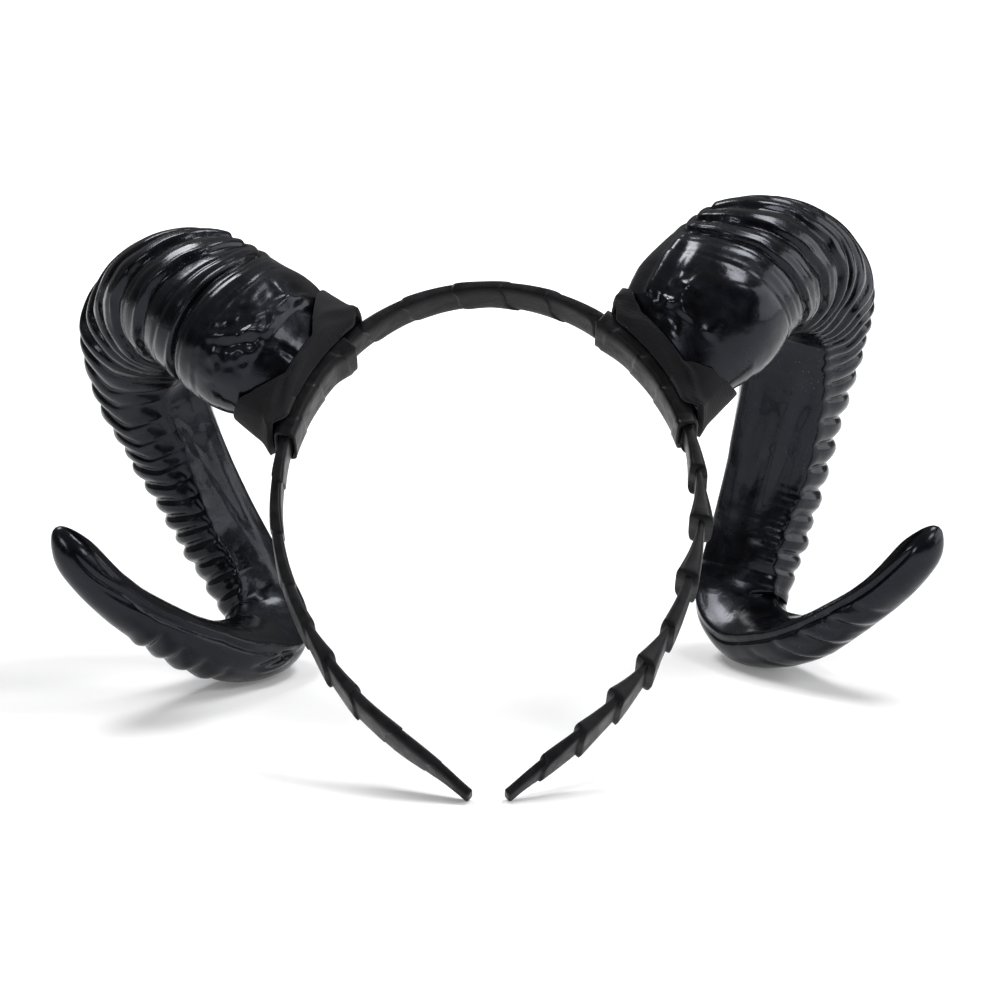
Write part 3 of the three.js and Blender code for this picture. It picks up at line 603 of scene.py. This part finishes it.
def makeHorn(line, grooves, ridge, farRidge, creases, crinkles, seed):
    share = crowd(skin["rows"], *np.array(rowDensity).T)[:, None]
    turn = 2 * np.pi * crowd(skin["columns"] + 1, *np.array(columnDensity).T)[None, :-1]
    degrees = np.degrees(turn)
    length = line["lengths"][-1]
    point, outer, flank, wide, thick = hornFrames(line, share[:, 0])
    wide, thick = wide[:, None], thick[:, None]
    bare = hornPoints(line, share[:, 0], turn[0], 0)

    near = np.interp(share, *np.array(ridge).T)
    far = np.interp(share, *np.array(farRidge).T)
    fromNear, fromFar, fromFlank = apart(degrees, near), apart(degrees, far), apart(degrees, 60)
    flatFrom = ease(0.2, 0.34, share) * (1 - ease(0.88, 0.97, share))

    phase = ringPhase(grooves, share[:, 0], degrees)
    count = grooves[-1][0]
    luck = np.random.default_rng(seed)
    heights = luck.uniform(0.75, 1.15, count + 8)
    number = np.clip(np.floor(phase).astype(int) + 2, 0, count + 7)
    part = phase - np.floor(phase)
    bump = np.sin(np.pi * part ** 0.8) ** 0.75
    # on the bulge each ring starts with a thin lip and has a fine line along its middle
    lip = np.exp(-((part - 0.1) / 0.06) ** 2) * 0.5 - np.exp(-(np.minimum(part, 1 - part) / 0.045) ** 2) * 0.45
    minor = lip - np.exp(-((part - 0.56) / 0.045) ** 2) * 0.22
    flankShare = np.exp(-(apart(degrees, 100) / 62) ** 2)
    outerShare = np.exp(-(apart(degrees, 0) / 55) ** 2)
    start = ease(-0.3, 1.2, phase)
    end = 1 - ease(0.57, 0.655, share)
    late = ease(0.17, 0.3, share)
    beads = skin["flankRings"] * flankShare + skin["outerRings"] * outerShare * (1 - flankShare)
    depth = mix(skin["bulgeRings"], beads, late)
    slim = np.clip((wide + thick) / (horn["wide"] + horn["thick"]), 0.55, 1)
    pastRidge = 1 - ease(-10, 6, fromNear) * (fromNear < 120)
    cover = np.where(fromFlank < 0, ease(-160, -100, fromFlank), 1)
    cover = cover * mix(1 - ease(60, 130, fromFlank), pastRidge, ease(0.2, 0.3, share))
    rings = (bump * heights[number] - 0.55 + minor * (1 - late)) * depth * start * end * cover * (0.5 + 0.5 * slim)
    fine = np.cos(6 * np.pi * phase) * 0.16 * ease(0.48, 0.52, share) * end * np.exp(-(apart(degrees, 122) / 30) ** 2)
    tip = ease(0.64, 0.7, share) * (1 - ease(0.93, 0.985, share))
    swell = skin["ridge"] * flatFrom * (np.exp(-(fromNear / 9) ** 2) + 0.8 * np.exp(-(fromFar / 8) ** 2))
    # a furrow runs under the far ridge of the tip
    swell = swell - skin["furrow"] * tip * np.exp(-((fromFar - 13) / 5.5) ** 2)

    rootMask = 0
    for atShare, atTurn, spanShare, spanTurn, height in crinkles:
        away = ((share - atShare) / spanShare) ** 2 + (apart(degrees, atTurn) / spanTurn) ** 2
        rootMask = rootMask + height * np.exp(-away)
    creased = (crinkle(bare, 4.8, seed) - 0.3) * rootMask * (1 - ease(0.066, 0.09, share))
    dimple = (grain(bare, 9, seed + 3) - 0.5) * skin["dimple"] + (grain(bare, 3.1, seed + 4) - 0.5) * 0.12
    grow = rings + fine + swell + creased + dimple + creaseRelief(line, creases, share, degrees, wide, thick)
    grow = grow * ease(-0.002, 0.012, share) * (1 - ease(0.975, 1, share))
    grow = np.minimum(grow, np.where(share < line["mouth"] * 1.05, 0, 9))
    # latex is brushed on, so nothing in it is sharper than its own thickness
    for step in range(2):
        grow = (np.roll(grow, 1, axis=1) + 2 * grow + np.roll(grow, -1, axis=1)) / 4
    grow[1:-1] = (grow[:-2] + 2 * grow[1:-1] + grow[2:]) / 4

    # the inner face is drawn towards the chord between the two ridges
    x, y = np.cos(turn) * thick / 2, np.sin(turn) * wide / 2
    nearTurn, farTurn = np.radians(near), np.radians(far)
    ax, ay = np.cos(nearTurn) * thick / 2, np.sin(nearTurn) * wide / 2
    bx, by = np.cos(farTurn) * thick / 2, np.sin(farTurn) * wide / 2
    gap = np.maximum((bx - ax) ** 2 + (by - ay) ** 2, 1e-9)
    along = np.clip(((x - ax) * (bx - ax) + (y - ay) * (by - ay)) / gap, 0, 1)
    between = (fromNear > 0) & (apart(far, degrees) > 0) & (fromNear < 180)
    drawn = mix(skin["flatten"], skin["tipFlatten"], ease(0.62, 0.7, share)) * flatFrom * between
    x = x + (ax + along * (bx - ax) - x) * drawn + np.cos(turn) * grow
    y = y + (ay + along * (by - ay) - y) * drawn + np.sin(turn) * grow
    points = point[:, None] + outer[:, None] * x[..., None] + flank[:, None] * y[..., None]
    rows, cols = x.shape
    faces = gridFaces(rows, cols)
    points = np.vstack([points.reshape(-1, 3), points[0].mean(axis=0)])
    faces += [(rows * cols, (j + 1) % cols, j) for j in range(cols)]
    return points, faces


leftLine = makeHornLine(-1, 54, 0.44, 0.02, leftRows)
rightLine = makeHornLine(1, 51.5, 0.48, 0.06, rightRows)
for name, line, grooves, ridge, farRidge, creases, crinkles, seed in (
        ("left", leftLine, leftGrooves, leftRidge, leftFarRidge, leftCreases, leftCrinkles, 11),
        ("right", rightLine, rightGrooves, rightRidge, rightFarRidge, rightCreases, rightCrinkles, 23)):
    points, faces = makeHorn(line, grooves, ridge, farRidge, creases, crinkles, seed)
    piece = makePiece("horn" + name.capitalize(), points, faces, latexSkin)
    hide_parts("horn_" + name)
    print("horn", name, "made:", len(piece.data.polygons), "faces")


# How far a cuff and its binding run along the hoop above and below the root, and how far its mouth reaches up
# the horn at some turns round it, as shares of the cuff's reach.
cuff = {"wall": 1.2, "clearance": 0.3, "overlap": 3.2, "lipTurn": 0.36, "columns": 180, "rows": 60,
        "tall": 16, "perDegree": 0.3}
binding = {"columns": 56, "rows": 90, "lap": 11.5, "step": 0.55, "wall": 0.8, "perTurn": 4.6}
leftCuff = {"above": 18.3, "below": 22.5, "bindAbove": 10.5, "bindBelow": 23.5, "corner": 1.5, "topDrop": 1.3,
            "mouth": [(-90, 1.05), (-65, 1.04), (-45, 0.9), (-25, 0.55), (-8, 0.12), (22, -0.08), (38, 0.25), (56, 0.65),
                      (75, 0.95), (90, 0.97), (115, 1.1), (180, 0.8), (270, 1.05)], "seed": 31}
rightCuff = {"above": 17.6, "below": 19.5, "bindAbove": 18.5, "bindBelow": 22.5, "corner": 0.4, "topDrop": 0,
             "mouth": [(-90, 0.9), (-65, 1.05), (-48, 0.9), (-38, 0.2), (-28, -0.05), (20, -0.05), (32, 0.25), (51, 0.6),
                       (75, 0.72), (105, 0.75), (180, 0.8), (270, 0.9)], "seed": 43}
# folds in the cloth: place and turn where each starts and ends, then width and height in mm
leftFolds = [(0.05, 70, 0.75, 40, 2.2, 0.9), (0.1, 95, 0.8, 75, 2.0, -0.8), (0.1, 120, 0.6, 130, 2.4, 0.8),
             (0.1, -60, 0.7, -30, 2.0, 0.7), (0.1, -80, 0.8, -65, 2.0, -0.7), (0.2, -110, 0.7, -130, 2.4, 0.6),
             (0.3, 160, 0.7, 200, 3, 0.6), (0.5, 10, 0.55, 35, 1.8, 0.5)]
rightFolds = [(0.05, 60, 0.7, 25, 2.0, 0.8), (0.1, 90, 0.8, 70, 2.2, -0.8), (0.1, -50, 0.8, -20, 1.8, -0.9),
              (0.1, -75, 0.8, -55, 2.0, 0.8), (0.1, -95, 0.7, -90, 1.8, -0.7), (0.2, 120, 0.6, 140, 2.4, 0.7),
              (0.3, 170, 0.7, 210, 3, 0.6)]


def foldRelief(folds, part, degrees):
    total = 0
    for fromPart, fromTurn, toPart, toTurn, width, height in folds:
        x, y = (part - fromPart) * cuff["tall"], apart(degrees, fromTurn) * cuff["perDegree"]
        dx, dy = (toPart - fromPart) * cuff["tall"], (toTurn - fromTurn) * cuff["perDegree"]
        share = np.clip((x * dx + y * dy) / (dx * dx + dy * dy), 0, 1)
        gap = np.hypot(x - share * dx, y - share * dy)
        total = total + height * (0.4 + 0.6 * np.sin(np.pi * share)) * np.exp(-(gap / width) ** 2 * 1.5)
    return total


def cuffWallPoints(line, about, folds, grow):
    turn = 2 * np.pi * np.arange(cuff["columns"]) / cuff["columns"]
    down, front = np.sin(turn), np.cos(turn)
    half = (hoop["bandWide"] + 0.3) / 2 + 2 * cuff["clearance"] + 1 + grow
    run = np.where(down > 0, about["below"], about["above"]) + grow
    away = np.sign(down) * np.abs(down) ** 0.75 * run
    across = -np.sign(front) * np.minimum(1, np.abs(front) / cuff["lipTurn"]) * half
    lift = horn["baseLevel"] + grow - cuff["overlap"] * ease(cuff["lipTurn"], 2 * cuff["lipTurn"], np.abs(front))
    lift = lift - about["topDrop"] * ease(0.8, 1, -down)
    lip = layStrip(line["seatLength"] + line["side"] * away, across, lift)
    reach = np.interp((np.degrees(turn) + 90) % 360 - 90, *np.array(about["mouth"]).T)
    reach = reach + 0.05 * np.sin(5 * turn + about["seed"])
    rings = []
    for step in (0, 0.33, 0.66, 1):
        shares = np.maximum(step * line["mouth"] * reach, 0.0002 + step * 0.004)
        rings.append(np.concatenate([hornPoints(line, [shares[j]], turn[j:j + 1], grow + cuff["clearance"])[0]
                                     for j in range(len(turn))]))
    # above and below the root the cloth is drawn straight from the hoop to its mouth
    taut = (0.85 * ease(0.55, 0.85, np.abs(down)))[:, None]
    rings = [mix(ring, mix(lip, rings[3], part), taut) for ring, part in zip(rings, (0.25, 0.5, 0.75, 1))]
    loops = np.array([lip] + rings)
    parts = np.linspace(0, 1, cuff["rows"])
    flat = spline(loops.reshape(5, -1), parts, centripetal=False).reshape(cuff["rows"], len(turn), 3)
    # push folds out along the way that the cloth faces
    around = np.roll(flat, -1, axis=1) - np.roll(flat, 1, axis=1)
    up = np.gradient(flat, axis=0)
    facing = np.cross(around, up)
    facing /= np.linalg.norm(facing, axis=2)[..., None] + 1e-9
    middle = line["seat"] + line["seatOut"] * 6
    facing *= np.sign(np.sum(facing * (flat - middle), axis=2).mean())
    edge = ease(0, 0.12, parts) * (1 - 0.6 * ease(0.85, 1, parts))
    relief = np.maximum(foldRelief(folds, parts[:, None], np.degrees(turn)[None]), -0.1) * edge[:, None]
    relief = relief + (grain(flat, 7, about["seed"]) - 0.35) * 0.5 * edge[:, None]
    return flat + facing * np.maximum(relief, 0)[..., None]


def makeCuff(line, about, folds):
    outside = cuffWallPoints(line, about, folds, cuff["clearance"] + cuff["wall"])
    inside = cuffWallPoints(line, about, folds, cuff["clearance"])
    points = np.vstack([outside, inside[::-1]])
    return points.reshape(-1, 3), gridFaces(len(points), cuff["columns"], joined=True)


def makeBinding(line, about):
    cols = binding["columns"]
    span = about["bindAbove"] + about["bindBelow"]
    turn = 2 * np.pi * np.arange(cols) / cols
    walls, sizes = [], []
    for outsideWall in (True, False):
        parts = np.linspace(0, 1, binding["rows"])
        parts = parts if outsideWall else parts[::-1]
        spiral = parts[:, None] * span / binding["lap"] + (turn / (2 * np.pi))[None]
        lap = spiral - np.floor(spiral)
        step = binding["step"] * (1 - lap) * ease(0, 0.05, lap) if outsideWall else 0 * lap
        length = line["seatLength"] + line["side"] * (span * parts - about["bindAbove"])[:, None]
        grow = 2 * (cuff["clearance"] + (binding["wall"] if outsideWall else 0)) + 0.3 + step
        across, away = stripSection(hoop["bandWide"] + grow, hoop["bandThick"] + grow, turn[None])
        jut = about["corner"] * (1 - ease(0, 0.25, parts))[:, None] * outsideWall
        away = np.where(away < 0, away - jut, away)
        walls.append(layStrip(np.broadcast_to(length, across.shape), across, away))
        sizes.append(np.stack([np.broadcast_to((parts * span)[:, None], across.shape),
                               np.broadcast_to((turn * binding["perTurn"])[None], across.shape)], -1))
    points = np.vstack(walls)
    return points.reshape(-1, 3), gridFaces(len(points), cols, joined=True), np.vstack(sizes).reshape(-1, 2)


for name, line, about, folds in (("left", leftLine, leftCuff, leftFolds), ("right", rightLine, rightCuff, rightFolds)):
    points, faces = makeCuff(line, about, folds)
    piece = makePiece("cuff" + name.capitalize(), points, faces, cuffCloth)
    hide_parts("cuff_" + name)
    points, faces, stretch = makeBinding(line, about)
    piece = makePiece("binding" + name.capitalize(), points, faces, ribbonSatin, stretch)
    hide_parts("binding_" + name)


# Opal acrylic table, cast and matt, lit from below towards the back: white without an edge, with soft shadows.
opal = {"colour": "#f2f2f3", "roughness": 0.7, "nearGlow": 0.14, "farGlow": 1.0}
material, tree = newMaterial("opalAcrylic")
place = addNode(tree, "TexCoord").outputs["Object"]
# the light from below grows towards the back, and there is none well in front of the headband
depth = addNode(tree, "SeparateXYZ", {"Vector": place})
behind = addNode(tree, "MapRange", {"Value": depth.outputs["Y"], "From Min": 0.05, "From Max": 1.25,
                                    "To Min": opal["nearGlow"], "To Max": opal["farGlow"]},
                 interpolation_type="SMOOTHSTEP")
before = addNode(tree, "MapRange", {"Value": depth.outputs["Y"], "From Min": -0.6, "From Max": -0.25})
glowing = addNode(tree, "Math", {0: behind.outputs[0], 1: before.outputs[0]}, operation="MULTIPLY")
frost = addNode(tree, "TexNoise", {"Vector": place, "Scale": 900, "Detail": 2})
relief = addNode(tree, "Bump", {"Height": frost.outputs["Fac"], "Strength": 0.05, "Distance": 0.05 * mm})
acrylic = addNode(tree, "BsdfPrincipled", {
    "Base Color": toLinear(opal["colour"]), "Roughness": opal["roughness"], "Emission Color": (1, 1, 1, 1),
    "Emission Strength": glowing.outputs[0], "Normal": relief.outputs["Normal"]})
addNode(tree, "OutputMaterial", {"Surface": acrylic.outputs["BSDF"]})
floorMesh = bpy.data.meshes.new("whiteFloor")
floorMesh.from_pydata([(-9, -4, 0), (9, -4, 0), (9, 14, 0), (-9, 14, 0)], [], [(0, 1, 2, 3)])
floorMesh.materials.append(material)
floor = bpy.data.objects.new("whiteFloor", floorMesh)
bpy.context.scene.collection.objects.link(floor)

world = bpy.data.worlds.new("studio")
bpy.context.scene.world = world
world.use_nodes = True
# a tent of white cloth: bright overhead, dim towards the floor and behind the camera
tent = {"overhead": 0.3, "side": 0.14, "front": 0.03}
tree = world.node_tree
ahead = addNode(tree, "TexCoord").outputs["Generated"]
parts = addNode(tree, "SeparateXYZ", {"Vector": ahead})
backward = addNode(tree, "MapRange", {"Value": parts.outputs["Y"], "From Min": -0.6, "From Max": 0.6,
                                      "To Min": tent["front"], "To Max": tent["side"]})
height = addNode(tree, "MapRange", {"Value": parts.outputs["Z"], "From Min": 0.1, "From Max": 0.95},
                 interpolation_type="SMOOTHSTEP")
glow = addNode(tree, "MapRange", {"Value": height.outputs[0], "To Min": backward.outputs[0],
                                  "To Max": tent["overhead"]})
tree.links.new(glow.outputs[0], tree.nodes["Background"].inputs["Strength"])
tree.nodes["Background"].inputs["Color"].default_value = (1, 1, 1, 1)
bpy.context.scene.view_settings.view_transform = "Standard"

# soft boxes: place and what each looks at in metres, width, height and watts
lights = [
    ("topLeftBox", (-0.46, 0.39, 1.06), (0, 0, 0.06), 0.55, 0.3, 8.3),
    ("topRightBox", (0.45, 0.08, 1.12), (0, 0, 0.06), 0.5, 0.34, 8.0),
    ("rightPanel", (1.25, -0.05, 0.5), (0, 0, 0.08), 1.3, 0.85, 9.5),
    ("leftBox", (-0.68, -0.81, 0.56), (0, 0, 0.08), 0.3, 0.24, 2.3),
    ("rightBox", (0.62, -0.66, 0.79), (0, 0, 0.08), 0.3, 0.24, 2.3)]
for name, spot, target, width, height, watts in lights:
    lamp = bpy.data.lights.new(name, "AREA")
    lamp.shape = "RECTANGLE"
    lamp.size, lamp.size_y, lamp.energy = width, height, watts
    box = bpy.data.objects.new(name, lamp)
    box.location = spot
    box.rotation_euler = (Vector(target) - Vector(spot)).to_track_quat("-Z", "Y").to_euler()
    bpy.context.scene.collection.objects.link(box)

# the camera stands 750 mm in front of the hoop, 12 degrees above the floor, and sees 1000 x 1000
view = {"place": (-0.0015589, -0.7545257, 0.2221886), "ahead": (-0.00154116, 0.97759702, -0.21047966),
        "up": (0.00782251, 0.21048526, 0.97756573), "lens": 103.03, "shift": 0.0115}
lens = bpy.data.cameras.new("camera")
lens.sensor_width, lens.lens, lens.shift_x = 36, view["lens"], view["shift"]
lens.clip_end = 60
camera = bpy.data.objects.new("camera", lens)
ahead, up = Vector(view["ahead"]), Vector(view["up"])
right = ahead.cross(up)
camera.matrix_world = Matrix.Translation(view["place"]) @ Matrix((right, up, -ahead)).transposed().to_4x4()
bpy.context.scene.collection.objects.link(camera)
bpy.context.scene.camera = camera
print("floor, light and camera set")
